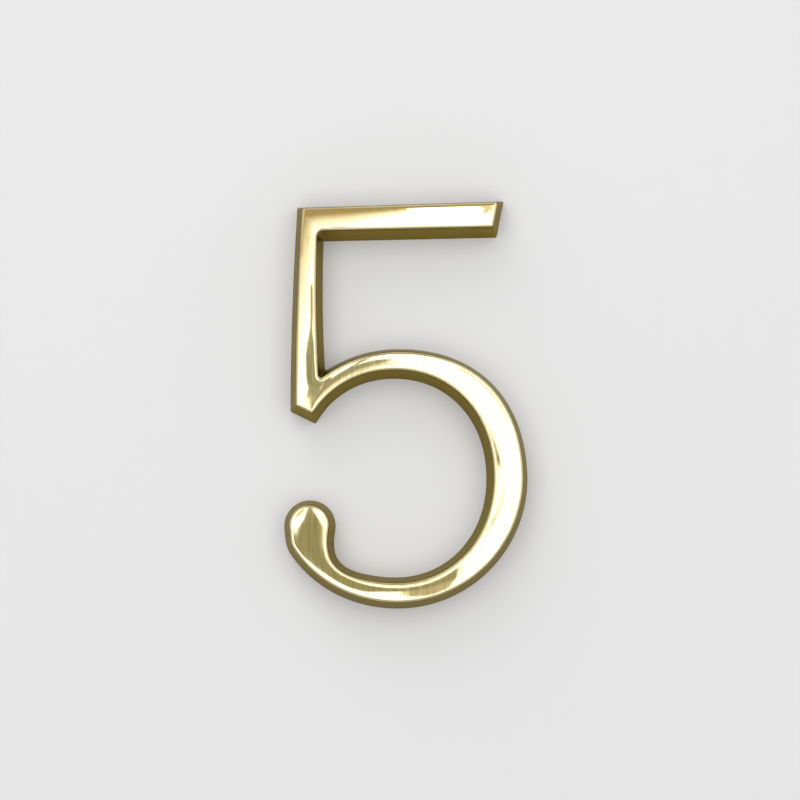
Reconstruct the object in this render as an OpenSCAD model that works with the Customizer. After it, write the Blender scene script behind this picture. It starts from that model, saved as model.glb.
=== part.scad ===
// Cast brass door numeral, a figure 5, held by two threaded studs screwed into its flat back.
// Millimetres. The face looks along -Y, the back lies in the plane Y = 0 and +Z is up.
// The origin lies on the back, midway between the two studs.
// The casting is one stroke lofted between two rails: the right-hand rail runs along the bar's
// top, down the stem's outside and round the counter, and the left-hand rail runs under the bar,
// down the stem's inside and round the outside of the bowl.

/* [Figure] */
// Height of the figure over its back edges
figure_height = 78.5; // [74:0.1:90]
// Thickness of the casting at the rim of its face
casting_depth = 8; // [6.5:0.1:11]
// Draft of the side walls, in degrees
wall_draft = 8; // [2:0.5:10]
// Radius that polishing leaves round the rim of the face
rim_radius = 0.6; // [0.4:0.05:1.1]
// Slope at which the crowned face runs into its rim, in degrees
crown_slope = 1.2; // [0.4:0.1:6]
// Radius of the outside corners
corner_radius = 0.25; // [0.1:0.05:0.5]

/* [Bar] */
// Length of the bar's face along its top edge
bar_length = 37.4; // [30:0.1:42]
// Height of the bar's face where it meets the stem
bar_width = 4.4; // [3.8:0.05:6]
// Rise of the bar's top edge towards its free end, in degrees
bar_rise = 1.9; // [0:0.1:5]
// Angle by which the bar widens towards its free end, in degrees
bar_taper = 0.6; // [0:0.1:2]
// Slant of the bar's free end from upright, in degrees
bar_end_slant = 11; // [0:1:25]
// Radius inside the corner of bar and stem, at the face
bar_fillet = 1.15; // [0.5:0.05:2]

/* [Stem] */
// Width of the stem's face under the bar
stem_width = 3; // [2.6:0.05:4.5]
// Left corner of the stem, measured left from the middle of the bowl
stem_reach = 18.3; // [17:0.1:20]
// Lean of the stem's outer edge from upright, in degrees
stem_lean = 1.8; // [0:0.1:4]
// Angle by which the stem widens downwards, in degrees
stem_taper = 2.5; // [1:0.1:4]
// How far the middle of the stem bows to the left
stem_bow = 0.3; // [0:0.05:0.8]
// Radius in the notch between stem and bowl, at the face
notch_radius = 0.45; // [0.2:0.05:1]
// Slope of the cut under the foot of the stem, in degrees
foot_slope = 26; // [5:1:40]
// Direction of the foot's tip from the middle of the counter, in degrees
foot_direction = 142.7; // [139:0.1:146]

/* [Bowl] */
// Radius of the bowl's outer edge, at the face
bowl_radius = 23.8; // [22.5:0.1:26]
// How far the bowl swells beyond that radius at its upper right
upper_swell = 0.84; // [0:0.02:1.2]
// How far it swells beyond that radius at its lower left
lower_swell = 0.26; // [0:0.02:1]
// Direction of the upper swell, in degrees from level right
swell_direction = 47; // [42:1:52]
// Width of the bowl's face at the top
bowl_top_width = 3.5; // [2.8:0.05:5]
// Width of the bowl's face at the right
bowl_side_width = 5.65; // [4:0.05:7.5]
// Width of the bowl's face at the bottom
bowl_bottom_width = 3.7; // [3.2:0.05:5]
// Half the width of the counter, the open middle of the bowl
counter_half_width = 18.8; // [17.8:0.1:19.6]
// Squareness of the counter, where 2 is an ellipse
counter_squareness = 2.1; // [2:0.02:2.3]

/* [Ball] */
// Radius of the ball that ends the stroke, at the face
ball_radius = 3.8; // [3.2:0.05:4.6]
// Distance from the middle of the bowl to the middle of the ball
ball_reach = 19.15; // [18.6:0.05:19.8]
// Direction of the ball from the middle of the bowl, in degrees
ball_direction = 208.5; // [205:0.5:212]
// Fullness of the hollow curve that joins the neck to the ball, where 0.55 is a round arc
neck_fullness = 0.74; // [0.5:0.02:0.85]

/* [Studs] */
// Diameter of the threaded studs
stud_diameter = 3; // [2.5:0.1:3.4]
// Depth of their thread, from the outside to the wall of the tapped hole
thread_depth = 0.25; // [0.2:0.01:0.35]
// Length of each stud
stud_length = 30; // [20:1:50]
// Depth that each stud screws into the casting
stud_engagement = 5; // [3:0.1:5.2]
// Gap round the screwed-in end of a stud, which is drawn at the core of its thread
stud_clearance = 0.05; // [0.02:0.01:0.1]
// Chamfer on the ends of the studs
stud_chamfer = 0.4; // [0.2:0.05:0.6]
// The studs' line, measured right from the middle of the bowl
stud_line = 1.4; // [0:0.1:3]

/* [Hidden] */
brass = [0.86, 0.74, 0.42];
drill_point = 118;
round_sides = 48;
// Least radius that a corner keeps where the outline is set in
least_radius = 0.15;
// How far the cutter of a stud's hole stands out behind the back
past_back = 1;
// Distances from the bar's free end at which the crown of its face grows
end_runs = [0.7, 1.5, 2.5];
// Steps along the stroke and round its section
rim_steps = 5;
crown_steps = 4;
corner_steps = 2;
run_steps = 3;
bar_steps = 8;
stem_steps = 8;
spring_steps = 9;
bowl_steps = 44;
neck_steps = 14;
ball_steps = 11;
// Directions from the middle of the bowl at which its curves begin and end, in degrees
top_of_bowl = 90;
neck_start = -97;
cheek_start = -145;
spring_gap = 7;
swell_half_angle = 45;
// The outer curve that leads into the ball: its share of the neck's steps, and its fullness
cheek_share = 0.18;
cheek_fullness = 0.36;
// Directions from the middle of the ball at which its rim begins and ends, in degrees
ball_left = 188;
ball_right = -10;

// Sections: how far the outline is set out from the face's edge, and the height above the back
wall_inset = casting_depth * tan(wall_draft);
rim_centre = -rim_radius * tan((90 - wall_draft) / 2);
rim = [
    for (i = [0 : rim_steps])
        let (tilt = 90 - wall_draft - (90 - wall_draft - crown_slope) * i / rim_steps)
            [rim_centre + rim_radius * sin(tilt), casting_depth - rim_radius * (1 - cos(tilt))]
];
side = concat([[wall_inset, 0]], rim);

// Plane geometry
function mix(a, b, t) = a + (b - a) * t;
function toward(angle) = [cos(angle), sin(angle)];
function unit(v) = v / norm(v);
function turned(v) = [-v[1], v[0]];
function cross_size(a, b) = a[0] * b[1] - a[1] * b[0];
function meet(p, p_angle, q, q_angle) =
    p + toward(p_angle) * cross_size(q - p, toward(q_angle))
        / cross_size(toward(p_angle), toward(q_angle));
function mitre(a, b) = (a + b) / (1 + a * b);

// Places on a rail. A smooth place moves along its normal when the outline is set out or in.
function smooth(p, normal) = [p, normal, normal, 0, 0];
// Places round a corner, which turns from one normal to the next with its own radius
function corner(p, from, to, radius, bend, steps) = [
    for (i = [0 : steps])
        [p, mitre(toward(from), toward(to)), toward(mix(from, to, i / steps)), radius, bend]
];
// A place on the straight run between two others, bowed sideways in the middle if need be
function between(a, b, t, bow = [0, 0]) = [a, b, t, bow * 4 * t * (1 - t)];
function corner_size(place, d) = place[4] > 0 ? place[3] : max(place[3] - d, least_radius);
function spot(place, d) =
    len(place) == 4
        ? mix(spot(place[0], d), spot(place[1], d), place[2]) + place[3]
        : place[0] + d * place[1] + place[4] * corner_size(place, d) * (place[2] - place[1]);
function last(list) = list[len(list) - 1];

// Curves of the bowl, as radius against direction
function swell(angle) =
    abs(angle) < swell_half_angle ? pow(cos(90 * angle / swell_half_angle), 2) : 0;
function outer_radius(angle) =
    bowl_radius + upper_swell * swell(angle - swell_direction)
        + lower_swell * swell(angle - swell_direction + 180);
counter_height = bowl_radius - (bowl_top_width + bowl_bottom_width) / 2;
counter_middle = [
    bowl_radius - bowl_side_width - counter_half_width,
    (bowl_bottom_width - bowl_top_width) / 2
];
function counter_radius(angle) =
    pow(
        pow(abs(cos(angle)) / counter_half_width, counter_squareness)
            + pow(abs(sin(angle)) / counter_height, counter_squareness),
        -1 / counter_squareness
    );
function polar_normal(radius, growth, angle) =
    unit(radius * toward(angle) - growth * turned(toward(angle)));
// The growth of a radius per radian, from its values a degree to either side
function growth(before, after) = (after - before) / 2 * 180 / PI;
function outer_growth(angle) = growth(outer_radius(angle - 1), outer_radius(angle + 1));
function counter_growth(angle) = growth(counter_radius(angle - 1), counter_radius(angle + 1));
function outer(angle) =
    smooth(
        outer_radius(angle) * toward(angle),
        polar_normal(outer_radius(angle), outer_growth(angle), angle)
    );
function counter(angle) =
    smooth(
        counter_middle + counter_radius(angle) * toward(angle),
        -polar_normal(counter_radius(angle), counter_growth(angle), angle)
    );

// Ball, and the curves that lead into it from the bowl
ball_middle = ball_reach * toward(ball_direction);
function ball(angle) = smooth(ball_middle + ball_radius * toward(angle), toward(angle));
function bezier(p, t) =
    pow(1 - t, 3) * p[0] + 3 * pow(1 - t, 2) * t * p[1] + 3 * (1 - t) * t * t * p[2]
        + pow(t, 3) * p[3];
function bezier_rate(p, t) =
    pow(1 - t, 2) * (p[1] - p[0]) + 2 * (1 - t) * t * (p[2] - p[1]) + t * t * (p[3] - p[2]);
// A curve that leaves one place and reaches another along their rails, seen as four Bezier points
function lead(from, to, hand, fullness) =
    let (reach = fullness * norm(to[0] - from[0]))
        [from[0], from[0] + hand * reach * turned(from[1]), to[0] - hand * reach * turned(to[1]), to[0]];
function lead_place(p, hand, t) = smooth(bezier(p, t), -hand * turned(unit(bezier_rate(p, t))));
cheek = lead(outer(cheek_start), ball(ball_left), -1, cheek_fullness);
// The neck turns through about a quarter circle, whose radius is this share of its chord
quarter_share = sqrt(0.5);
neck = lead(counter(neck_start), ball(ball_right), 1, neck_fullness * quarter_share);

// Corners of bar and stem, from the bowl's middle
top_angle = 90 + bar_rise;
under_angle = bar_rise - bar_taper - 90;
end_angle = -bar_end_slant;
outside_angle = 180 - stem_lean;
inside_angle = stem_taper - stem_lean;
bar_end_top_z = figure_height - bowl_radius - 2 * wall_inset;
stem_top = [-stem_reach, bar_end_top_z - bar_length * sin(bar_rise)];
bar_end_top = stem_top + bar_length * toward(bar_rise);
stem_inside_top = meet(
    stem_top - [0, bar_width], bar_rise - bar_taper,
    stem_top + [stem_width, 0], 90 - stem_lean
);
bar_end_under = meet(
    stem_inside_top, bar_rise - bar_taper,
    bar_end_top, 90 - bar_end_slant
);
foot_tip = counter(foot_direction)[0];
foot_corner = meet(foot_tip, 180 - foot_slope, stem_top, 90 - stem_lean);
// The notch lies where the stem's inner edge meets the circle of the bowl
inside_way = toward(inside_angle - 90);
inside_middle = stem_inside_top * inside_way;
inside_offset = cross_size(stem_inside_top, inside_way);
notch_run = -inside_middle - sqrt(pow(bowl_radius, 2) - pow(inside_offset, 2));
notch = stem_inside_top + notch_run * inside_way;
notch_direction = atan2(notch[1], notch[0]);

// Right-hand rail
end_top = corner(bar_end_top, end_angle, top_angle, corner_radius, 1, corner_steps);
stem_outer = corner(stem_top, top_angle, outside_angle, corner_radius, 1, corner_steps);
foot_outer = corner(foot_corner, outside_angle, 270 - foot_slope, corner_radius, 1, corner_steps);
tip_normal = counter(foot_direction)[1];
foot_end = corner(
    foot_tip, 270 - foot_slope, 360 + atan2(tip_normal[1], tip_normal[0]), corner_radius, 1,
    corner_steps
);
stem_bulge = stem_bow * toward(outside_angle);
counter_first = foot_direction - spring_gap;

// Left-hand rail
// Its fillets take as many steps as the corners and straight runs that face them on the right.
turn_steps = 2 * run_steps + corner_steps;
notch_steps = 2 * run_steps + 2 * corner_steps;
end_under = corner(bar_end_under, end_angle, under_angle, corner_radius, 1, corner_steps);
stem_inner = corner(stem_inside_top, under_angle, inside_angle, bar_fillet, -1, turn_steps);
notch_inner = corner(notch, inside_angle, notch_direction, notch_radius, -1, notch_steps);
outer_first = notch_direction - spring_gap;

// Shares of the long edges at which the stroke turns
top_share = 1 - (stem_inside_top[0] - stem_top[0] + bar_fillet) / bar_length;
outside_length = norm(foot_corner - stem_top);
turn_share = (bar_width + bar_fillet) / outside_length;
notch_share = (stem_top[1] - notch[1]) / outside_length;

function top_edge(t) = between(last(end_top), stem_outer[0], t);
function under_edge(t) = between(last(end_under), stem_inner[0], t);
function outside_edge(t) = between(last(stem_outer), foot_outer[0], t, stem_bulge);
function inside_edge(t) = between(last(stem_inner), notch_inner[0], t, stem_bulge);
function cut_edge(t) = between(last(foot_outer), foot_end[0], t);

// Stations along the stroke, each a place on the left-hand rail, one on the right-hand rail and
// the share of its crown that the face has there. The share grows from nothing at the bar's free
// end, and falls to nothing where the ball's rim closes.
bar_stations = concat(
    [for (i = [0 : corner_steps]) [end_under[i], end_top[i], 0]],
    [
        for (run = end_runs)
            let (t = run / bar_length)
                [under_edge(t), top_edge(t), 1 - pow(1 - run / last(end_runs), 2)]
    ],
    [
        for (i = [1 : bar_steps - 1])
            let (t = mix(last(end_runs) / bar_length, 1, i / bar_steps))
                [under_edge(t), top_edge(t * top_share), 1]
    ]
);
turn_right = concat(
    [for (i = [0 : run_steps - 1]) top_edge(mix(top_share, 1, i / run_steps))],
    stem_outer,
    [for (i = [1 : run_steps]) outside_edge(turn_share * i / run_steps)]
);
turn_stations = [for (i = [0 : turn_steps]) [stem_inner[i], turn_right[i], 1]];
stem_stations = [
    for (i = [1 : stem_steps - 1])
        [inside_edge(i / stem_steps), outside_edge(mix(turn_share, notch_share, i / stem_steps)), 1]
];
foot_right = concat(
    [for (i = [0 : run_steps - 1]) outside_edge(mix(notch_share, 1, i / run_steps))],
    foot_outer,
    [for (i = [1 : run_steps - 1]) cut_edge(i / run_steps)],
    foot_end
);
foot_stations = [for (i = [0 : notch_steps]) [notch_inner[i], foot_right[i], 1]];
spring_stations = concat(
    [
        for (i = [1 : run_steps - 1])
            [
                between(last(notch_inner), outer(outer_first), i / run_steps),
                between(last(foot_end), counter(counter_first), i / run_steps),
                1
            ]
    ],
    [
        for (i = [0 : spring_steps - 1])
            [
                outer(mix(outer_first, top_of_bowl, i / spring_steps)),
                counter(mix(counter_first, top_of_bowl, i / spring_steps)),
                1
            ]
    ]
);
bowl_stations = [
    for (i = [0 : bowl_steps - 1])
        let (angle = mix(top_of_bowl, neck_start, i / bowl_steps))
            [outer(angle), counter(angle), 1]
];
function lower_left(t) =
    t < 1 - cheek_share
        ? outer(mix(neck_start, cheek_start, t / (1 - cheek_share)))
        : lead_place(cheek, -1, (t - 1 + cheek_share) / cheek_share);
neck_stations = [
    for (i = [0 : neck_steps - 1])
        [lower_left(i / neck_steps), lead_place(neck, 1, i / neck_steps), 1]
];
ball_top = (ball_left + ball_right) / 2;
ball_stations = [
    for (i = [0 : ball_steps])
        let (t = sin(90 * i / ball_steps))
            i < ball_steps
                ? [
                    ball(mix(ball_left, ball_top, t)),
                    ball(mix(ball_right, ball_top, t)),
                    sin(min(90, (1 - t) * (ball_left - ball_top)))
                ]
                : [ball(ball_top), ball(ball_top), 0]
];
stations = concat(
    bar_stations, turn_stations, stem_stations, foot_stations,
    spring_stations, bowl_stations, neck_stations, ball_stations
);

// Studs and their tapped holes, whose countersunk mouths are just wider than the thread
stud_radius = stud_diameter / 2;
hole_radius = stud_radius - thread_depth;
core_radius = hole_radius - stud_clearance;
mouth_radius = stud_radius + stud_clearance;
// Places of the studs
outer_foot = -sqrt(pow(bowl_radius, 2) - pow(stud_line, 2));
lower_stud_z = (outer_foot + counter_middle[1] - counter_height) / 2;
bar_top_z = stem_top[1] + (stud_line - stem_top[0]) * tan(bar_rise);
bar_under_z = stem_inside_top[1] + (stud_line - stem_inside_top[0]) * tan(bar_rise - bar_taper);
upper_stud_z = (bar_top_z + bar_under_z) / 2;
origin_z = (upper_stud_z + lower_stud_z) / 2;
stud_spacing = upper_stud_z - lower_stud_z;

// One ring of points across the stroke: up the left wall, over the crowned face, down the right
function in_place(p, height) = [p[0] - stud_line, -height, p[1] - origin_z];
function crown_height(width, t) = width * tan(crown_slope) * t * (1 - t);
function ring(station) =
    let (
        left = spot(station[0], last(side)[0]),
        right = spot(station[1], last(side)[0]),
        width = norm(right - left)
    )
        concat(
            [for (level = side) in_place(spot(station[0], level[0]), level[1])],
            [
                for (i = [1 : crown_steps - 1])
                    let (t = i / crown_steps)
                        in_place(
                            mix(left, right, t), last(side)[1] + station[2] * crown_height(width, t)
                        )
            ],
            [
                for (i = [len(side) - 1 : -1 : 0])
                    in_place(spot(station[1], side[i][0]), side[i][1])
            ]
        );

// The bar's free end: rows of points across it, between the two sides of the first ring
rings = [for (station = stations) ring(station)];
ring_size = len(rings[0]);
end_points = [
    for (level = [1 : len(side) - 2], i = [1 : crown_steps - 1])
        mix(rings[0][level], rings[0][ring_size - 1 - level], i / crown_steps)
];
function end_index(level, i) =
    i == 0 ? level
        : i == crown_steps ? ring_size - 1 - level
            : level == len(side) - 1 ? level + i
                : len(rings) * ring_size + (level - 1) * (crown_steps - 1) + i - 1;
end_wall = concat([0], [for (i = [0 : crown_steps]) end_index(1, i)], [ring_size - 1]);
function two_halves(a, b, c, d) = [[a, c, b], [a, d, c]];

module figure() {
    points = concat([for (one = rings) each one], end_points);
    stroke = [
        for (i = [0 : len(rings) - 2], j = [0 : ring_size - 1])
            let (a = i * ring_size + j, b = i * ring_size + (j + 1) % ring_size)
                each two_halves(a, b, b + ring_size, a + ring_size)
    ];
    end_rim = [
        for (level = [1 : len(side) - 2], i = [0 : crown_steps - 1])
            each two_halves(
                end_index(level, i), end_index(level, i + 1),
                end_index(level + 1, i + 1), end_index(level + 1, i)
            )
    ];
    // Where the stroke closes to a point, faces without area are left out
    whole = [
        for (face = concat(stroke, end_rim))
            if (
                points[face[0]] != points[face[1]] && points[face[1]] != points[face[2]]
                    && points[face[2]] != points[face[0]]
            )
                face
    ];
    polyhedron(points, concat(whole, [end_wall]));
}

// A tapped hole, drilled into the back at the origin, with its countersunk mouth
module stud_hole() {
    rotate([90, 0, 0])
        rotate_extrude($fn = round_sides)
            polygon([
                [0, -past_back],
                [mouth_radius + past_back, -past_back],
                [hole_radius, mouth_radius - hole_radius],
                [hole_radius, stud_engagement],
                [0, stud_engagement + hole_radius / tan(drill_point / 2)]
            ]);
}

// A stud, with its screwed-in end inside the casting and the rest behind the back
module stud() {
    back_end = stud_engagement - stud_length;
    rotate([90, 0, 0])
        rotate_extrude($fn = round_sides)
            polygon([
                [0, back_end],
                [stud_radius - stud_chamfer, back_end],
                [stud_radius, back_end + stud_chamfer],
                [stud_radius, 0],
                [core_radius, 0],
                [core_radius, stud_engagement - stud_chamfer],
                [core_radius - stud_chamfer, stud_engagement],
                [0, stud_engagement]
            ]);
}

module at_stud(way) {
    translate([0, 0, way * stud_spacing / 2])
        children();
}

module numeral_casting() {
    color(brass)
        difference() {
            figure();
            for (way = [1, -1])
                at_stud(way)
                    stud_hole();
        }
}

module upper_stud() {
    color(brass)
        at_stud(1)
            stud();
}

module lower_stud() {
    color(brass)
        at_stud(-1)
            stud();
}

numeral_casting();
upper_stud();
lower_stud();
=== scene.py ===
"""Looks of the cast brass door numeral: its polished casting, its threaded studs and a plain studio."""

import cmath
import math

import bmesh
import bpy
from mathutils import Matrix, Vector


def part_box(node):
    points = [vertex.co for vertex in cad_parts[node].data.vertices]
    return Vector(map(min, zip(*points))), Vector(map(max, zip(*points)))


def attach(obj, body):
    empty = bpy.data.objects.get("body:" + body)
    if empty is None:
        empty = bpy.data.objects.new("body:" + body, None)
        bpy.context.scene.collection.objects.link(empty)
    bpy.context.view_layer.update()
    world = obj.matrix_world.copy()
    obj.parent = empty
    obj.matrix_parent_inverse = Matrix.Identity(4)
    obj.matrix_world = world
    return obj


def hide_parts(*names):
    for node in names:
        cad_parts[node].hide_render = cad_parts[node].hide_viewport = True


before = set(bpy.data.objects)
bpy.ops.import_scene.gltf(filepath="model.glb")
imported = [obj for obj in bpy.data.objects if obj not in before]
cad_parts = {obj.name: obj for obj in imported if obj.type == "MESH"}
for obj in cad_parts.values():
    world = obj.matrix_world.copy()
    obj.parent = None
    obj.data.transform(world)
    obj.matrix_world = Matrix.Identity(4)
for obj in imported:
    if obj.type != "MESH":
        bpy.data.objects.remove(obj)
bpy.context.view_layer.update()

MM = 0.001

# Sizes of the casting in millimetres and degrees, the same as the solid's
FIGURE_HEIGHT = 78.5
CASTING_DEPTH = 8
WALL_DRAFT = 8
RIM_RADIUS = 0.6
CORNER_RADIUS = 0.25
LEAST_RADIUS = 0.15
BAR_LENGTH = 37.4
BAR_WIDTH = 4.4
BAR_RISE = 1.9
BAR_TAPER = 0.6
BAR_END_SLANT = 11
BAR_FILLET = 1.15
END_RUN = 2.5
STEM_WIDTH = 3
STEM_REACH = 18.3
STEM_LEAN = 1.8
STEM_TAPER = 2.5
STEM_BOW = 0.3
NOTCH_RADIUS = 0.45
FOOT_SLOPE = 26
FOOT_DIRECTION = 142.7
BOWL_RADIUS = 23.8
UPPER_SWELL = 0.84
LOWER_SWELL = 0.26
SWELL_DIRECTION = 47
SWELL_HALF_ANGLE = 45
BOWL_TOP_WIDTH = 3.5
BOWL_SIDE_WIDTH = 5.65
BOWL_BOTTOM_WIDTH = 3.7
COUNTER_HALF_WIDTH = 18.8
COUNTER_SQUARENESS = 2.1
TOP_OF_BOWL = 90
NECK_START = -97
CHEEK_START = -145
CHEEK_SHARE = 0.18
CHEEK_FULLNESS = 0.36
NECK_FULLNESS = 0.74
SPRING_GAP = 7
BALL_RADIUS = 3.8
BALL_REACH = 19.15
BALL_DIRECTION = 208.5
BALL_LEFT = 188
BALL_RIGHT = -10
# The neck turns through about a quarter circle, whose radius is this share of its chord
QUARTER_SHARE = math.sqrt(0.5)

# The tilt of the face at its rims: polishing leaves it a little flatter than the solid's
CROWN_SLOPE = 0.84

# Studs, and the tapped holes that they stand in
STUD_LINE = 1.4
STUD_RADIUS = 1.5
STUD_CORE = 1.2
STUD_CHAMFER = 0.4
STUD_ENGAGEMENT = 5
STUD_LENGTH = 30
THREAD_PITCH = 0.5
HOLE_RADIUS = 1.25
MOUTH_RADIUS = 1.55
DRILL_POINT = 118
# How far a hole's cutter stands out past the back
PAST_BACK = 1
# Places along one pitch of the thread, and the share of its depth there
THREAD_PROFILE = ((0, 0), (1 / 8, 0), (7 / 16, 1), (11 / 16, 1))

# Finishes: heights above the back between which the polish begins, and the metal's colours
POLISH_FROM = 7.7
POLISH_TO = 7.86
BRIGHT_BRASS = (0.86, 0.71, 0.38)
PALE_BRASS = (0.93, 0.81, 0.53)
STROKE_BRASS = (0.74, 0.625, 0.375)
# The walls' colours and edge tint, far darker than the face's brass: painted shade, standing in for the
# shaded surroundings that the satin walls mirror
SHADED_WALL_DARK = (0.23, 0.167, 0.057)
SHADED_WALL_PALE = (0.32, 0.235, 0.09)
SHADED_WALL_EDGE_TINT = (0.64, 0.59, 0.35)
FACE_EDGE_TINT = (1, 1, 1)
BACK_DARK = (0.42, 0.31, 0.13)
BACK_PALE = (0.62, 0.49, 0.24)
THREAD_DARK = (0.66, 0.5, 0.24)
THREAD_PALE = (0.86, 0.72, 0.42)
# A painted dark reflection line under the rim, between these heights
SHADE_FROM = 7.35
SHADE_TO = 7.55
RIM_SHADE = (0.13, 0.095, 0.03)
# Roughness, from the smoothest to the roughest spots of a finish
FACE_ROUGHNESS = (0.02, 0.05)
WALL_ROUGHNESS = 0.3
BACK_ROUGHNESS = (0.35, 0.55)
THREAD_ROUGHNESS = (0.16, 0.34)
PAINT_ROUGHNESS = 0.9
# Marks on the metal: how many a metre, and how they are stretched along the axes
TARNISH_CELLS = 180
STROKE_CELLS = 5200
STROKE_STRETCH = (1, 1, 0.035)
STREAK_CELLS = 900
STREAK_STRETCH = (1, 1, 0.08)
RIPPLE_CELLS = 90
PATCH_CELLS = 120
GRINDING_CELLS = 2500
GRINDING_STRETCH = (0.04, 1, 1)
THREAD_CELLS = 400
# Levels of a noise between which a mark comes out, and the level that leaves no mark
STROKE_LEVELS = (0.36, 0.6)
PATCH_LEVELS = (0.35, 0.65)
GLOSS_LEVELS = (0.3, 0.7)
EVEN_LEVEL = 0.5
# Depths of the marks, in metres
GRAIN_DEPTH = 4e-7
RIPPLE_DEPTH = 3e-6
GRINDING_DEPTH = 1e-5

# The studio, in metres
WALL_COLOUR = (0.72, 0.72, 0.72)
FLOOR_COLOUR = (0.72, 0.72, 0.72)
FLOOR_DROP = 1.5
WALL_SIZE = 3
FLOOR_SIZE = 6
# The wall stands a hair before the back, so that the back shows from behind through the wall's clear side
WALL_Y = -0.00005
WORLD_COLOUR = (1, 1, 1)
WORLD_STRENGTH = 0.55
# Cards just behind the camera, which only the polished metal shows: the colour of each, and its
# outline in millimetres, across and up
CARD_DISTANCE = 0.6
CARDS = {
    "lower_olive": ((0.36, 0.36, 0.22), (
        (-31, 22), (-34, 14), (-36, 8), (-39, 1), (-42, -4), (-45, -8), (-50, -10), (-70, -10),
        (-70, -32), (-42, -32), (-36, -34), (-30, -33), (-25, -35), (-20, -38), (-14, -39), (-10, -38),
        (-7, -35),
        (-4, -32), (0, -30), (4, -29), (27, -29), (26, -26), (24, -22), (22, -17), (19, -12),
        (15, -15), (10, -18), (5, -18.5), (0, -18), (-7, -17.5), (-10.5, -12), (-12, -8),
        (-14, -5), (-17, 0), (-20, 5), (-23, 10), (-27, 17),
    )),
    "lower_tan": ((0.6, 0.56, 0.42), (
        (4, -29), (27, -29), (28, -36), (29, -46), (22, -50), (14, -49), (8, -45), (5, -40),
    )),
    "upper_olive": ((0.43, 0.44, 0.33), (
        (-22, 87), (-21.5, 80), (-21.5, 75), (-23, 70.5), (-27, 67), (-32, 64.5), (-35, 58),
        (-35.5, 52), (-33.5, 48), (-33.5, 42), (-35, 36), (-37, 30), (-38, 22), (-20, 16), (-9, 20),
        (-8, 36), (-6, 44), (-3, 50), (0, 55), (1, 60), (0, 64), (-8, 67), (-13, 67), (-17, 68.5),
        (-16, 71), (-13, 76), (-12, 87),
    )),
    "upper_tan": ((0.9, 0.85, 0.7), (
        (-9, 20), (-2, 22), (-3, 36), (-1, 44), (2, 50), (2, 54), (-3, 50), (-8, 40),
    )),
    "ball_cream": ((0.95, 0.82, 0.6), ((-53, 4), (-47, 12), (-38, 18), (-36, 15), (-42, 9), (-49, 3))),
    "right_wedge": ((0.25, 0.24, 0.16), ((22, 27), (23, 16), (33, 14.5), (31, 20), (26, 24))),
    "right_cream": ((1, 0.9, 0.6), (
        (31, 67), (42, 61), (52, 51), (59, 39), (61, 44), (54, 57), (44, 66), (33, 71),
    )),
    "right_streak": ((0.9, 0.88, 0.66), ((24, -5), (31, -3), (39, 6), (36, 8), (29, 1))),
    "end_gold": ((0.85, 0.78, 0.6), (
        (33, 134), (34.5, 131), (37, 127), (38.8, 124), (39.6, 121), (39, 116), (47, 114), (48, 121),
        (46, 134),
    )),
    "top_gold": ((0.36, 0.31, 0.17), (
        (6, 134), (90, 136), (90, 470), (-100, 470), (-100, 165), (6, 165),
    )),
    "left_gold": ((0.74, 0.67, 0.445), ((-480, 133), (-102, 102), (-102, 240), (-480, 400))),
    "counter_cream": ((1.05, 1.08, 1.05), (
        (-3, 22), (-6, 12), (-9, 0), (-7, -10), (0, -15), (10, -14), (19, 0), (18, 20), (6, 24),
    )),
    "right_window": ((0.75, 0.78, 0.8), ((440, -200), (1500, -200), (1500, 400), (440, 400))),
}
# A card whose glow is a fan round its centre, between two slopes, a little behind the others
GOLD_DARKEST = (0.45, 0.37, 0.2)
GOLD_CENTRE = (19, 136)
GOLD_OUTLINE = ((-120, -110), (-92, -110), (-13, -15.6), (-13, 29), (-120, 29))
GOLD_FAN = (0.25, 1.2)
GOLD_BEHIND = 0.002
# A card close before the notch, in millimetres, which shades its corner alone
NOTCH_CARD_DISTANCE = 0.2
NOTCH_CARD_COLOUR = (0.36, 0.36, 0.28)
NOTCH_CARD = (
    (-24.6, 25.5), (-23.2, 27.4), (-21.8, 27), (-20.3, 25.5), (-19.5, 20), (-22.3, 19.8), (-23.6, 22.5),
)
# A pale card overhead for the top of the bar, in millimetres, across and forward
CEILING_HEIGHT = 1.5
CEILING_COLOUR = (0.75, 0.73, 0.65)
CEILING_CARD = ((-70, -100), (350, -100), (350, 600), (-70, 600))
# Soft lights: width and height, place, and radiance
FRONT_SIZE = (1.45, 1.4)
FRONT_PLACE = (0, -1, 0.07)
FRONT_TARGET = (0, 0, 0.07)
FRONT_RADIANCE = 1.3
TOP_SIZE = (0.8, 0.5)
TOP_PLACE = (-0.35, -0.45, 0.85)
TOP_RADIANCE = 2
BACK_SIZE = (1.2, 1.2)
BACK_PLACE = (0, 0.9, 0.4)
BACK_RADIANCE = 1
# The front light's face as the polished metal mirrors it: bright out to one radius, and down to
# its rim's glow at another
FACE_GLOW = 2.4
FACE_RIM_GLOW = 1.2
FACE_BRIGHT_RADIUS = 0.155
FACE_FALL_RADIUS = 0.23
# Turns of a flat sheet, in degrees
FLAT = (0, 0, 0)
UPRIGHT = (90, 0, 0)
FACE_DOWN = (180, 0, 0)

# Steps along the stroke of the figure and round its section
WALL_STEPS = 5
RIM_STEPS = 12
FACE_STEPS = 24
CORNER_STEPS = 6
RUN_STEPS = 9
BAR_STEPS = 60
STEM_STEPS = 56
SPRING_STEPS = 44
BOWL_STEPS = 190
NECK_STEPS = 60
BALL_STEPS = 40
STUD_SIDES = 36
# Edges that turn by more degrees than this are sharp, and points nearer than this are one
CASTING_SHARP = 35
STUD_SHARP = 40
DOUBLED = 1e-7

# Camera, in millimetres: where it stands, the point it looks at, its lens and its sensor
CAMERA_PLACE = (-5.385, -578.0, -39.11)
CAMERA_TARGET = (-1.02, -8.0, 0.74)
CAMERA_LENS = 135.5
SENSOR_WIDTH = 36
# The nearest and the furthest that it sees, in metres
CAMERA_CLIP = (0.01, 20)


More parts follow.
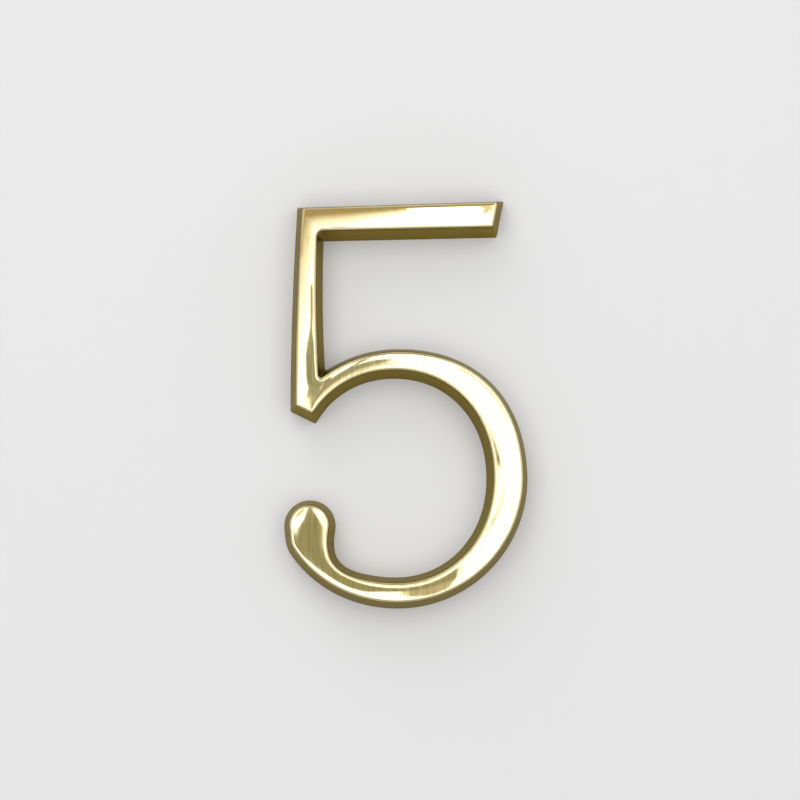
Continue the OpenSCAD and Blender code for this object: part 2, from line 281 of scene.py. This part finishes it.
# Plane geometry, with points and directions as complex numbers
def mix(a, b, t):
    return a + (b - a) * t


def toward(angle):
    return cmath.rect(1, math.radians(angle))


def direction(v):
    return math.degrees(cmath.phase(v))


def unit(v):
    return v / abs(v)


def cross(a, b):
    return (a.conjugate() * b).imag


def dot(a, b):
    return (a.conjugate() * b).real


def tangent(angle):
    return math.tan(math.radians(angle))


def meet(p, p_angle, q, q_angle):
    """Where a line through p meets a line through q."""
    way = toward(p_angle)
    return p + way * cross(q - p, toward(q_angle)) / cross(way, toward(q_angle))


# Places on a rail: each is a function that gives its point when the outline is set out by that much
def smooth(p, normal):
    return lambda out: p + out * normal


def between(a, b, t, bow=0):
    return lambda out: mix(a(out), b(out), t) + 4 * t * (1 - t) * bow


def corner(p, start, end, radius, bend, steps):
    """Places round an outside corner, where bend is 1, or an inside one, where it is -1."""
    first, last = toward(start), toward(end)
    mitre = (first + last) / (1 + dot(first, last))

    def place(normal):
        def at(out):
            size = radius if bend > 0 else max(radius - out, LEAST_RADIUS)
            return p + out * mitre + bend * size * (normal - mitre)

        return at

    return [place(toward(mix(start, end, i / steps))) for i in range(steps + 1)]


# Curves of the bowl, as radius against direction
def swell(angle):
    if abs(angle) >= SWELL_HALF_ANGLE:
        return 0
    return math.cos(math.radians(90 * angle / SWELL_HALF_ANGLE)) ** 2


def outer_radius(angle):
    upper = UPPER_SWELL * swell(angle - SWELL_DIRECTION)
    lower = LOWER_SWELL * swell(angle - SWELL_DIRECTION + 180)
    return BOWL_RADIUS + upper + lower


COUNTER_HEIGHT = BOWL_RADIUS - (BOWL_TOP_WIDTH + BOWL_BOTTOM_WIDTH) / 2
COUNTER_MIDDLE = complex(
    BOWL_RADIUS - BOWL_SIDE_WIDTH - COUNTER_HALF_WIDTH, (BOWL_BOTTOM_WIDTH - BOWL_TOP_WIDTH) / 2
)


def counter_radius(angle):
    way = toward(angle)
    across = (abs(way.real) / COUNTER_HALF_WIDTH) ** COUNTER_SQUARENESS
    upright = (abs(way.imag) / COUNTER_HEIGHT) ** COUNTER_SQUARENESS
    return (across + upright) ** (-1 / COUNTER_SQUARENESS)


def polar_normal(radius, angle):
    """The outward normal of a curve given as radius against direction."""
    growth = (radius(angle + 1) - radius(angle - 1)) / math.radians(2)
    return unit((radius(angle) - 1j * growth) * toward(angle))


def outer(angle):
    return smooth(outer_radius(angle) * toward(angle), polar_normal(outer_radius, angle))


def counter(angle):
    p = COUNTER_MIDDLE + counter_radius(angle) * toward(angle)
    return smooth(p, -polar_normal(counter_radius, angle))


# The part's origin, from the middle of the bowl: the lower stud stands in the middle of the stroke
LOWER_STUD = (COUNTER_MIDDLE.imag - COUNTER_HEIGHT - math.sqrt(BOWL_RADIUS**2 - STUD_LINE**2)) / 2
ORIGIN = complex(STUD_LINE, LOWER_STUD - sum(point.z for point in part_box("lower_stud")) / 2 / MM)

# Ball, and the curves that lead into it from the bowl
BALL_MIDDLE = BALL_REACH * toward(BALL_DIRECTION)


def ball(angle):
    return smooth(BALL_MIDDLE + BALL_RADIUS * toward(angle), toward(angle))


def lead(start, end, hand, fullness):
    """A curve from one place to another, as a function that gives its places."""
    p0, p3 = start(0), end(0)
    reach = hand * fullness * abs(p3 - p0)
    p1 = p0 + reach * 1j * (start(1) - p0)
    p2 = p3 - reach * 1j * (end(1) - p3)

    def place(t):
        s = 1 - t
        point = s**3 * p0 + 3 * s * s * t * p1 + 3 * s * t * t * p2 + t**3 * p3
        way = s * s * (p1 - p0) + 2 * s * t * (p2 - p1) + t * t * (p3 - p2)
        return smooth(point, -hand * 1j * unit(way))

    return place


def shares(steps, first=0, last=None):
    """Even shares of one, from step first to step last of so many."""
    return [i / steps for i in range(first, (steps if last is None else last) + 1)]


def stroke_stations():
    """The stroke of the figure: pairs of places on its two rails, and the crown's share there."""
    wall_inset = CASTING_DEPTH * tangent(WALL_DRAFT)
    top_angle = 90 + BAR_RISE
    under_angle = BAR_RISE - BAR_TAPER - 90
    outside_angle = 180 - STEM_LEAN
    inside_angle = STEM_TAPER - STEM_LEAN

    # Corners of bar and stem
    end_top_z = FIGURE_HEIGHT - BOWL_RADIUS - 2 * wall_inset
    stem_top = complex(-STEM_REACH, end_top_z - BAR_LENGTH * toward(BAR_RISE).imag)
    bar_end_top = stem_top + BAR_LENGTH * toward(BAR_RISE)
    under_way = BAR_RISE - BAR_TAPER
    stem_inside = meet(stem_top - 1j * BAR_WIDTH, under_way, stem_top + STEM_WIDTH, 90 - STEM_LEAN)
    bar_end_under = meet(stem_inside, under_way, bar_end_top, 90 - BAR_END_SLANT)
    foot_tip = counter(FOOT_DIRECTION)(0)
    foot_corner = meet(foot_tip, 180 - FOOT_SLOPE, stem_top, 90 - STEM_LEAN)

    # The notch lies where the stem's inner edge meets the circle of the bowl
    inside_way = toward(inside_angle - 90)
    offset = cross(stem_inside, inside_way)
    run = -dot(stem_inside, inside_way) - math.sqrt(BOWL_RADIUS**2 - offset**2)
    notch = stem_inside + run * inside_way
    notch_direction = direction(notch)

    turn_steps = 2 * RUN_STEPS + CORNER_STEPS
    notch_steps = 2 * RUN_STEPS + 2 * CORNER_STEPS
    end_top = corner(bar_end_top, -BAR_END_SLANT, top_angle, CORNER_RADIUS, 1, CORNER_STEPS)
    end_under = corner(bar_end_under, -BAR_END_SLANT, under_angle, CORNER_RADIUS, 1, CORNER_STEPS)
    stem_outer = corner(stem_top, top_angle, outside_angle, CORNER_RADIUS, 1, CORNER_STEPS)
    stem_inner = corner(stem_inside, under_angle, inside_angle, BAR_FILLET, -1, turn_steps)
    foot_angle = 270 - FOOT_SLOPE
    foot_outer = corner(foot_corner, outside_angle, foot_angle, CORNER_RADIUS, 1, CORNER_STEPS)
    tip_angle = 360 + direction(counter(FOOT_DIRECTION)(1) - foot_tip)
    foot_end = corner(foot_tip, foot_angle, tip_angle, CORNER_RADIUS, 1, CORNER_STEPS)
    notch_inner = corner(notch, inside_angle, notch_direction, NOTCH_RADIUS, -1, notch_steps)
    stem_bulge = STEM_BOW * toward(outside_angle)

    def top_edge(t):
        return between(end_top[-1], stem_outer[0], t)

    def under_edge(t):
        return between(end_under[-1], stem_inner[0], t)

    def outside_edge(t):
        return between(stem_outer[-1], foot_outer[0], t, stem_bulge)

    def inside_edge(t):
        return between(stem_inner[-1], notch_inner[0], t, stem_bulge)

    def cut_edge(t):
        return between(foot_outer[-1], foot_end[0], t)

    top_share = 1 - (stem_inside.real - stem_top.real + BAR_FILLET) / BAR_LENGTH
    outside_length = abs(foot_corner - stem_top)
    turn_share = (BAR_WIDTH + BAR_FILLET) / outside_length
    notch_share = (stem_top.imag - notch.imag) / outside_length

    # The bar, from its free end, where the crown grows from nothing
    stations = [(under, top, 0) for under, top in zip(end_under, end_top)]
    for t in shares(BAR_STEPS, 1, BAR_STEPS - 1):
        crown = 1 - max(0, 1 - t * BAR_LENGTH / END_RUN) ** 2
        stations.append((under_edge(t), top_edge(t * (1 - (1 - top_share) * t)), crown))

    # The turn from bar to stem
    turn = [top_edge(mix(top_share, 1, t)) for t in shares(RUN_STEPS, 0, RUN_STEPS - 1)]
    turn += stem_outer + [outside_edge(turn_share * t) for t in shares(RUN_STEPS, 1)]
    stations += [(left, right, 1) for left, right in zip(stem_inner, turn)]

    # The stem, its foot and the spring of the bowl
    for t in shares(STEM_STEPS, 1, STEM_STEPS - 1):
        stations.append((inside_edge(t), outside_edge(mix(turn_share, notch_share, t)), 1))
    foot = [outside_edge(mix(notch_share, 1, t)) for t in shares(RUN_STEPS, 0, RUN_STEPS - 1)]
    foot += foot_outer + [cut_edge(t) for t in shares(RUN_STEPS, 1, RUN_STEPS - 1)] + foot_end
    stations += [(left, right, 1) for left, right in zip(notch_inner, foot)]
    outer_first, counter_first = notch_direction - SPRING_GAP, FOOT_DIRECTION - SPRING_GAP
    for t in shares(RUN_STEPS, 1, RUN_STEPS - 1):
        left = between(notch_inner[-1], outer(outer_first), t)
        stations.append((left, between(foot_end[-1], counter(counter_first), t), 1))
    for t in shares(SPRING_STEPS, 0, SPRING_STEPS - 1):
        left = outer(mix(outer_first, TOP_OF_BOWL, t))
        stations.append((left, counter(mix(counter_first, TOP_OF_BOWL, t)), 1))

    # The bowl, the neck and the ball
    for t in shares(BOWL_STEPS, 0, BOWL_STEPS - 1):
        angle = mix(TOP_OF_BOWL, NECK_START, t)
        stations.append((outer(angle), counter(angle), 1))
    cheek = lead(outer(CHEEK_START), ball(BALL_LEFT), -1, CHEEK_FULLNESS)
    neck = lead(counter(NECK_START), ball(BALL_RIGHT), 1, NECK_FULLNESS * QUARTER_SHARE)
    for t in shares(NECK_STEPS, 0, NECK_STEPS - 1):
        if t < 1 - CHEEK_SHARE:
            left = outer(mix(NECK_START, CHEEK_START, t / (1 - CHEEK_SHARE)))
        else:
            left = cheek((t - 1 + CHEEK_SHARE) / CHEEK_SHARE)
        stations.append((left, neck(t), 1))
    ball_top = (BALL_LEFT + BALL_RIGHT) / 2
    for share in shares(BALL_STEPS, 0, BALL_STEPS - 1):
        t = math.sin(math.pi / 2 * share)
        crown = math.sin(math.radians(min(90, (1 - t) * (BALL_LEFT - ball_top))))
        stations.append((ball(mix(BALL_LEFT, ball_top, t)), ball(mix(BALL_RIGHT, ball_top, t)), crown))
    stations.append((ball(ball_top), ball(ball_top), 0))
    return stations


def side_profile():
    """The wall and the rim, as pairs of how far the outline is set out and the height there."""
    steep = 90 - WALL_DRAFT
    centre = -RIM_RADIUS * tangent(steep / 2)
    rim = []
    for t in shares(RIM_STEPS):
        tilt = math.radians(mix(steep, CROWN_SLOPE, t))
        rim.append(
            (centre + RIM_RADIUS * math.sin(tilt), CASTING_DEPTH - RIM_RADIUS * (1 - math.cos(tilt)))
        )
    foot = (CASTING_DEPTH * tangent(WALL_DRAFT), 0)
    wall = [
        (mix(foot[0], rim[0][0], t), mix(foot[1], rim[0][1], t))
        for t in shares(WALL_STEPS, 0, WALL_STEPS - 1)
    ]
    return wall + rim


def in_place(p, height):
    """A point of the figure's plane at a height above the back, in metres in the shared frame."""
    return Vector(((p.real - ORIGIN.real) * MM, -height * MM, (p.imag - ORIGIN.imag) * MM))


def ring(station, side):
    """Points across the stroke: up the left wall, over the crowned face and down the right wall."""
    left_place, right_place, crown = station
    face_inset, face_height = side[-1]
    left, right = left_place(face_inset), right_place(face_inset)
    lift = crown * abs(right - left) * tangent(CROWN_SLOPE)
    up = [in_place(left_place(out), height) for out, height in side]
    face = [
        in_place(mix(left, right, t), face_height + lift * t * (1 - t))
        for t in shares(FACE_STEPS, 1, FACE_STEPS - 1)
    ]
    down = [in_place(right_place(out), height) for out, height in reversed(side)]
    return up + face + down


def mesh_object(name, mesh, materials):
    obj = bpy.data.objects.new(name, mesh)
    bpy.context.scene.collection.objects.link(obj)
    for material in materials:
        mesh.materials.append(material)
    return obj


def finished_mesh(bm, name, sharp_angle):
    """The mesh of a bmesh, without doubled points, smooth but for its sharp edges."""
    bmesh.ops.remove_doubles(bm, verts=bm.verts, dist=DOUBLED)
    bmesh.ops.dissolve_degenerate(bm, edges=bm.edges, dist=DOUBLED)
    bmesh.ops.recalc_face_normals(bm, faces=bm.faces)
    mesh = bpy.data.meshes.new(name)
    bm.to_mesh(mesh)
    bm.free()
    mesh.shade_smooth()
    mesh.set_sharp_from_angle(angle=math.radians(sharp_angle))
    return mesh


def casting_mesh():
    """The casting, without its stud holes."""
    side = side_profile()
    bm = bmesh.new()
    rings = [[bm.verts.new(point) for point in ring(s, side)] for s in stroke_stations()]
    count = len(rings[0])
    for one, other in zip(rings, rings[1:]):
        for j in range(count):
            k = (j + 1) % count
            face = bm.faces.new((one[j], one[k], other[k], other[j]))
            face.material_index = 1 if k == 0 else 0

    # The bar's free end: rows across it, between the two sides of the first ring
    first = rings[0]
    rows = []
    for level in range(len(side) - 1):
        left, right = first[level], first[count - 1 - level]
        inner = [
            bm.verts.new(left.co.lerp(right.co, t)) for t in shares(FACE_STEPS, 1, FACE_STEPS - 1)
        ]
        rows.append([left] + inner + [right])
    rows.append(first[len(side) - 1 : count - len(side) + 1])
    for lower, upper in zip(rows, rows[1:]):
        for j in range(FACE_STEPS):
            bm.faces.new((lower[j], lower[j + 1], upper[j + 1], upper[j]))
    return finished_mesh(bm, "numeral_casting_face", CASTING_SHARP)


def round_point(radius, turn, y):
    """A point round the Y axis, from millimetres and turns."""
    way = cmath.rect(radius, math.tau * turn)
    return Vector((way.real * MM, y * MM, way.imag * MM))


def revolve(bm, outline):
    """Faces round the Y axis, from pairs of radius and place along it."""
    rows = [
        [bm.verts.new(round_point(radius, i / STUD_SIDES, y)) for i in range(STUD_SIDES)]
        for radius, y in outline
    ]
    for row, other in zip(rows, rows[1:]):
        for i in range(STUD_SIDES):
            k = (i + 1) % STUD_SIDES
            bm.faces.new((row[i], row[k], other[k], other[i]))


def stud_hole_mesh():
    """The cutter of a stud's tapped hole, with its countersunk mouth, drilled in at the origin."""
    bm = bmesh.new()
    outline = [
        (0, PAST_BACK),
        (MOUTH_RADIUS + PAST_BACK, PAST_BACK),
        (HOLE_RADIUS, HOLE_RADIUS - MOUTH_RADIUS),
        (HOLE_RADIUS, -STUD_ENGAGEMENT),
        (0, -STUD_ENGAGEMENT - HOLE_RADIUS / tangent(DRILL_POINT / 2)),
    ]
    revolve(bm, outline)
    return finished_mesh(bm, "stud_hole", CASTING_SHARP)


def stud_mesh():
    """A stud: its thread behind the back, and its screwed-in end at the core of the thread."""
    start = HOLE_RADIUS - MOUTH_RADIUS
    end = STUD_LENGTH - STUD_ENGAGEMENT
    bm = bmesh.new()
    inner_end = [
        (0, -STUD_ENGAGEMENT),
        (STUD_CORE - STUD_CHAMFER, -STUD_ENGAGEMENT),
        (STUD_CORE, STUD_CHAMFER - STUD_ENGAGEMENT),
        (STUD_CORE, start),
    ]
    revolve(bm, inner_end)
    revolve(bm, [(STUD_RADIUS - STUD_CHAMFER, end), (0, end)])

    # The thread, as one long strip along its helix, which meets itself a turn later
    turns = math.ceil((end - start) / THREAD_PITCH) + 2
    strip = []
    for k in range(turns * STUD_SIDES):
        for share, depth in THREAD_PROFILE:
            place = start + (k / STUD_SIDES - 1 + share) * THREAD_PITCH
            y = min(end, max(start, place))
            run_in = STUD_CORE + y - start
            run_out = STUD_RADIUS - STUD_CHAMFER + end - y
            radius = min(mix(STUD_RADIUS, STUD_CORE, depth), run_in, run_out)
            strip.append(bm.verts.new(round_point(radius, -k / STUD_SIDES, y)))
    points = len(THREAD_PROFILE)
    for k in range((turns - 1) * STUD_SIDES - 1):
        for s in range(points):
            here = k * points + s
            above = here + 1 if s < points - 1 else (k + STUD_SIDES) * points
            corners = (strip[here], strip[here + points], strip[above + points], strip[above])
            bm.faces.new(corners)
    return finished_mesh(bm, "stud", STUD_SHARP)


# Materials
class Nodes:
    """A material's node tree, with short calls to add nodes and join them."""

    def __init__(self, name):
        self.material = bpy.data.materials.new(name)
        self.material.use_nodes = True
        self.tree = self.material.node_tree
        self.shader = self.tree.nodes["Principled BSDF"]
        self.place = self.add("ShaderNodeTexCoord").outputs["Object"]

    def add(self, kind, **settings):
        node = self.tree.nodes.new(kind)
        for name, value in settings.items():
            setattr(node, name, value)
        return node

    def join(self, source, target):
        self.tree.links.new(source, target)

    def noise(self, scale, stretch=(1, 1, 1), detail=2, roughness=0.5):
        """Noise of so many cells a metre, stretched along the axes."""
        mapping = self.add("ShaderNodeMapping")
        mapping.inputs["Scale"].default_value = stretch
        self.join(self.place, mapping.inputs["Vector"])
        noise = self.add("ShaderNodeTexNoise")
        noise.inputs["Scale"].default_value = scale
        noise.inputs["Detail"].default_value = detail
        noise.inputs["Roughness"].default_value = roughness
        self.join(mapping.outputs["Vector"], noise.inputs["Vector"])
        return noise.outputs["Fac"]

    def remap(self, value, low, high, to_low=0, to_high=1, eased=False):
        node = self.add("ShaderNodeMapRange")
        if eased:
            node.interpolation_type = "SMOOTHSTEP"
        for name, number in (
            ("From Min", low), ("From Max", high), ("To Min", to_low), ("To Max", to_high),
        ):
            node.inputs[name].default_value = number
        self.join(value, node.inputs["Value"])
        return node.outputs["Result"]

    def mix_colour(self, factor, first, second):
        node = self.add("ShaderNodeMix", data_type="RGBA")
        for name, colour in (("A", first), ("B", second)):
            socket = next(s for s in node.inputs if s.name == name and s.type == "RGBA")
            if isinstance(colour, tuple):
                socket.default_value = (*colour, 1)
            else:
                self.join(colour, socket)
        self.join(factor, node.inputs["Factor"])
        return next(s for s in node.outputs if s.type == "RGBA")

    def mix_value(self, factor, first, second):
        node = self.add("ShaderNodeMix", data_type="FLOAT")
        for name, value in (("A", first), ("B", second)):
            socket = next(s for s in node.inputs if s.name == name and s.type == "VALUE")
            if isinstance(value, (int, float)):
                socket.default_value = value
            else:
                self.join(value, socket)
        self.join(factor, node.inputs["Factor"])
        return next(s for s in node.outputs if s.type == "VALUE")

    def bump(self, height, distance, strength=1, below=None):
        node = self.add("ShaderNodeBump")
        node.inputs["Strength"].default_value = strength
        node.inputs["Distance"].default_value = distance
        self.join(height, node.inputs["Height"])
        if below:
            self.join(below, node.inputs["Normal"])
        return node.outputs["Normal"]


def polished_brass():
    """The casting's face and rim, polished, and its walls, left satin from the cast, with painted shade
    darkening the walls and a painted dark reflection under the rim.
    """
    nodes = Nodes("polished_brass")
    shader = nodes.shader
    shader.inputs["Metallic"].default_value = 1
    split = nodes.add("ShaderNodeSeparateXYZ")
    nodes.join(nodes.place, split.inputs["Vector"])
    polish = nodes.remap(split.outputs["Y"], -POLISH_FROM * MM, -POLISH_TO * MM, eased=True)
    tarnish = nodes.noise(TARNISH_CELLS, detail=3)
    bright = nodes.mix_colour(tarnish, BRIGHT_BRASS, PALE_BRASS)

    # Polishing strokes, which the buffed bar is free of
    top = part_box("numeral_casting")[1].z / MM
    strokes = nodes.noise(STROKE_CELLS, stretch=STROKE_STRETCH, detail=3, roughness=0.6)
    buffed = nodes.remap(
        split.outputs["Z"], (top - 2 * BAR_WIDTH) * MM, (top - BAR_WIDTH) * MM, eased=True
    )
    wear = nodes.mix_value(buffed, nodes.remap(strokes, *STROKE_LEVELS), 1)
    bright = nodes.mix_colour(wear, STROKE_BRASS, bright)

    # The walls, in colours darkened with painted shade, and the painted dark reflection line under the
    # rim
    shade = nodes.remap(split.outputs["Y"], -SHADE_FROM * MM, -SHADE_TO * MM, eased=True)
    shaded_wall = nodes.mix_colour(shade, nodes.mix_colour(tarnish, SHADED_WALL_DARK, SHADED_WALL_PALE), RIM_SHADE)
    nodes.join(nodes.mix_colour(polish, shaded_wall, bright), shader.inputs["Base Color"])
    edge_tint = nodes.mix_colour(polish, SHADED_WALL_EDGE_TINT, FACE_EDGE_TINT)
    nodes.join(edge_tint, shader.inputs["Specular Tint"])

    # Gloss, fine grain and the slight waves of hand polishing
    streaks = nodes.noise(STREAK_CELLS, stretch=STREAK_STRETCH, detail=4)
    gloss = nodes.remap(streaks, *GLOSS_LEVELS, *FACE_ROUGHNESS)
    nodes.join(nodes.mix_value(polish, WALL_ROUGHNESS, gloss), shader.inputs["Roughness"])
    grain = nodes.bump(nodes.mix_value(buffed, streaks, EVEN_LEVEL), GRAIN_DEPTH)
    waves = nodes.bump(nodes.noise(RIPPLE_CELLS), RIPPLE_DEPTH, below=grain)
    nodes.join(waves, shader.inputs["Normal"])
    return nodes.material


def cast_back():
    """The flat back, ground level and left dull."""
    nodes = Nodes("cast_back")
    shader = nodes.shader
    shader.inputs["Metallic"].default_value = 1
    patches = nodes.noise(PATCH_CELLS, detail=5, roughness=0.6)
    colour = nodes.mix_colour(nodes.remap(patches, *PATCH_LEVELS), BACK_DARK, BACK_PALE)
    nodes.join(colour, shader.inputs["Base Color"])
    nodes.join(nodes.remap(patches, *GLOSS_LEVELS, *BACK_ROUGHNESS), shader.inputs["Roughness"])
    grinding = nodes.noise(GRINDING_CELLS, stretch=GRINDING_STRETCH, detail=3)
    nodes.join(nodes.bump(grinding, GRINDING_DEPTH), shader.inputs["Normal"])
    return nodes.material


def stud_brass():
    """The studs' rolled thread."""
    nodes = Nodes("stud_brass")
    shader = nodes.shader
    shader.inputs["Metallic"].default_value = 1
    patches = nodes.noise(THREAD_CELLS, detail=4)
    colour = nodes.mix_colour(patches, THREAD_DARK, THREAD_PALE)
    nodes.join(colour, shader.inputs["Base Color"])
    nodes.join(nodes.remap(patches, *GLOSS_LEVELS, *THREAD_ROUGHNESS), shader.inputs["Roughness"])
    return nodes.material


# Pieces of the part
def numeral_casting():
    """The casting, with its two holes drilled."""
    casting = mesh_object("numeral_casting_finished", casting_mesh(), (polished_brass(), cast_back()))
    cutters = []
    for node in ("upper_stud", "lower_stud"):
        cutter = mesh_object(f"{node}_hole", stud_hole_mesh(), ())
        cutter.location.z = middle_height(node)
        cutters.append(cutter)
        drill = casting.modifiers.new(f"{node}_hole", "BOOLEAN")
        drill.operation = "DIFFERENCE"
        drill.object = cutter
    bpy.context.view_layer.update()
    drilled = bpy.data.meshes.new_from_object(
        casting.evaluated_get(bpy.context.evaluated_depsgraph_get())
    )
    casting.modifiers.clear()
    casting.data = drilled
    for cutter in cutters:
        bpy.data.objects.remove(cutter)
    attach(casting, "root")
    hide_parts("numeral_casting")


def middle_height(node):
    """How high the middle of a node is, in metres."""
    low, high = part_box(node)
    return (low.z + high.z) / 2


def studs():
    brass = stud_brass()
    for node in ("upper_stud", "lower_stud"):
        stud = mesh_object(f"{node}_threaded", stud_mesh(), (brass,))
        stud.location.z = middle_height(node)
        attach(stud, "root")
        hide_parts(node)


# The studio: a pale wall that the back lies on, a pale floor, glowing cards and soft lights
def stage_object(name, corners, material, place, turn):
    """A flat outline, turned and placed."""
    bm = bmesh.new()
    bm.faces.new([bm.verts.new((x, y, 0)) for x, y in corners])
    mesh = bpy.data.meshes.new(name)
    bm.to_mesh(mesh)
    bm.free()
    obj = mesh_object(name, mesh, (material,))
    obj.location = place
    obj.rotation_euler = [math.radians(angle) for angle in turn]
    return obj


def rectangle(width, height):
    return [
        (side * width / 2, end * height / 2) for side, end in ((-1, -1), (1, -1), (1, 1), (-1, 1))
    ]


def plain_paint(name, colour):
    nodes = Nodes(name)
    nodes.shader.inputs["Base Color"].default_value = (*colour, 1)
    nodes.shader.inputs["Roughness"].default_value = PAINT_ROUGHNESS
    return nodes


def show(nodes, shader):
    nodes.join(shader, nodes.tree.nodes["Material Output"].inputs["Surface"])
    return nodes.material


def one_sided_paint(name, colour):
    """Paint on one side of a sheet whose other side is clear."""
    nodes = plain_paint(name, colour)
    clear = nodes.add("ShaderNodeBsdfTransparent")
    choice = nodes.add("ShaderNodeMixShader")
    nodes.join(nodes.add("ShaderNodeNewGeometry").outputs["Backfacing"], choice.inputs["Fac"])
    nodes.join(nodes.shader.outputs["BSDF"], choice.inputs[1])
    nodes.join(clear.outputs["BSDF"], choice.inputs[2])
    return show(nodes, choice.outputs["Shader"])


def card_glow(name, colour):
    nodes = Nodes(name)
    glow = nodes.add("ShaderNodeEmission")
    glow.inputs["Color"].default_value = (*colour, 1)
    return show(nodes, glow.outputs["Emission"])


def light_face_glow(name):
    """A glow that falls from a bright middle to a softer rim."""
    nodes = Nodes(name)
    reach = nodes.add("ShaderNodeVectorMath", operation="LENGTH")
    nodes.join(nodes.place, reach.inputs["Vector"])
    glow = nodes.add("ShaderNodeEmission")
    strength = nodes.remap(
        reach.outputs["Value"], FACE_BRIGHT_RADIUS, FACE_FALL_RADIUS, FACE_GLOW, FACE_RIM_GLOW,
        eased=True,
    )
    nodes.join(strength, glow.inputs["Strength"])
    return show(nodes, glow.outputs["Emission"])


def fan_glow(name):
    """A glow that opens from the light's own brightness to gold, as a fan round the card's middle."""
    nodes = Nodes(name)
    split = nodes.add("ShaderNodeSeparateXYZ")
    nodes.join(nodes.place, split.inputs["Vector"])
    ratio = nodes.add("ShaderNodeMath", operation="DIVIDE")
    nodes.join(split.outputs["Y"], ratio.inputs[0])
    nodes.join(split.outputs["X"], ratio.inputs[1])
    share = nodes.remap(ratio.outputs["Value"], *GOLD_FAN)
    white = (FACE_GLOW, FACE_GLOW, FACE_GLOW)
    glow = nodes.add("ShaderNodeEmission")
    nodes.join(nodes.mix_colour(share, GOLD_DARKEST, white), glow.inputs["Color"])
    return show(nodes, glow.outputs["Emission"])


def mirrored_only(name, corners, material, place, turn):
    """A glowing sheet that shows in polished metal alone, and neither lights nor shades."""
    sheet = stage_object(name, corners, material, place, turn)
    sheet.visible_camera = False
    sheet.visible_diffuse = False
    sheet.visible_shadow = False


def metres(outline):
    return [(across * MM, up * MM) for across, up in outline]


def card(name, outline, material, centre=(0, 0), distance=CARD_DISTANCE):
    """An upright card before the part."""
    across, up = centre
    place = (across * MM, -distance, up * MM)
    mirrored_only(f"{name}_card", metres(outline), material, place, UPRIGHT)


def soft_light(name, size, radiance, place, target=(0, 0, 0)):
    width, height = size
    data = bpy.data.lights.new(name, "AREA")
    data.shape = "RECTANGLE"
    data.size = width
    data.size_y = height
    data.energy = radiance * width * height * math.pi
    light = bpy.data.objects.new(name, data)
    bpy.context.scene.collection.objects.link(light)
    light.location = place
    light.rotation_euler = (Vector(target) - light.location).to_track_quat("-Z", "Y").to_euler()
    return light


def wall_and_floor():
    wall = rectangle(WALL_SIZE, WALL_SIZE)
    wall_place = (0, WALL_Y, WALL_SIZE / 2 - FLOOR_DROP)
    stage_object("wall", wall, one_sided_paint("wall_paint", WALL_COLOUR), wall_place, UPRIGHT)
    floor = rectangle(FLOOR_SIZE, FLOOR_SIZE)
    floor_paint = plain_paint("floor_paint", FLOOR_COLOUR).material
    stage_object("floor", floor, floor_paint, (0, 0, -FLOOR_DROP), FLAT)


def cards():
    for name, (colour, outline) in CARDS.items():
        card(name, outline, card_glow(name, colour))
    card("upper_gold", GOLD_OUTLINE, fan_glow("upper_gold"), GOLD_CENTRE, CARD_DISTANCE + GOLD_BEHIND)
    notch_glow = card_glow("notch_olive", NOTCH_CARD_COLOUR)
    card("notch_olive", NOTCH_CARD, notch_glow, distance=NOTCH_CARD_DISTANCE)
    ceiling_glow = card_glow("ceiling", CEILING_COLOUR)
    above = (0, 0, CEILING_HEIGHT)
    mirrored_only("ceiling_card", metres(CEILING_CARD), ceiling_glow, above, FACE_DOWN)


def lights():
    """Three soft lights, of which the polished metal mirrors the back one and the front one's face."""
    front_light = soft_light("front_light", FRONT_SIZE, FRONT_RADIANCE, FRONT_PLACE, FRONT_TARGET)
    front_light.visible_glossy = False
    face = rectangle(*FRONT_SIZE)
    mirrored_only("light_face", face, light_face_glow("light_face"), FRONT_PLACE, UPRIGHT)
    top_light = soft_light("top_light", TOP_SIZE, TOP_RADIANCE, TOP_PLACE)
    top_light.visible_glossy = False
    soft_light("back_light", BACK_SIZE, BACK_RADIANCE, BACK_PLACE)


def surroundings():
    world = bpy.data.worlds.new("world")
    bpy.context.scene.world = world
    world.use_nodes = True
    background = world.node_tree.nodes["Background"]
    background.inputs["Color"].default_value = (*WORLD_COLOUR, 1)
    background.inputs["Strength"].default_value = WORLD_STRENGTH


def camera():
    data = bpy.data.cameras.new("camera")
    data.lens = CAMERA_LENS
    data.sensor_width = SENSOR_WIDTH
    data.clip_start, data.clip_end = CAMERA_CLIP
    obj = bpy.data.objects.new("camera", data)
    bpy.context.scene.collection.objects.link(obj)
    obj.location = Vector(CAMERA_PLACE) * MM
    aim = Vector(CAMERA_TARGET) * MM
    obj.rotation_euler = (aim - obj.location).to_track_quat("-Z", "Y").to_euler()
    bpy.context.scene.camera = obj


numeral_casting()
studs()
wall_and_floor()
cards()
lights()
surroundings()
camera()
bpy.context.scene.view_settings.view_transform = "Standard"
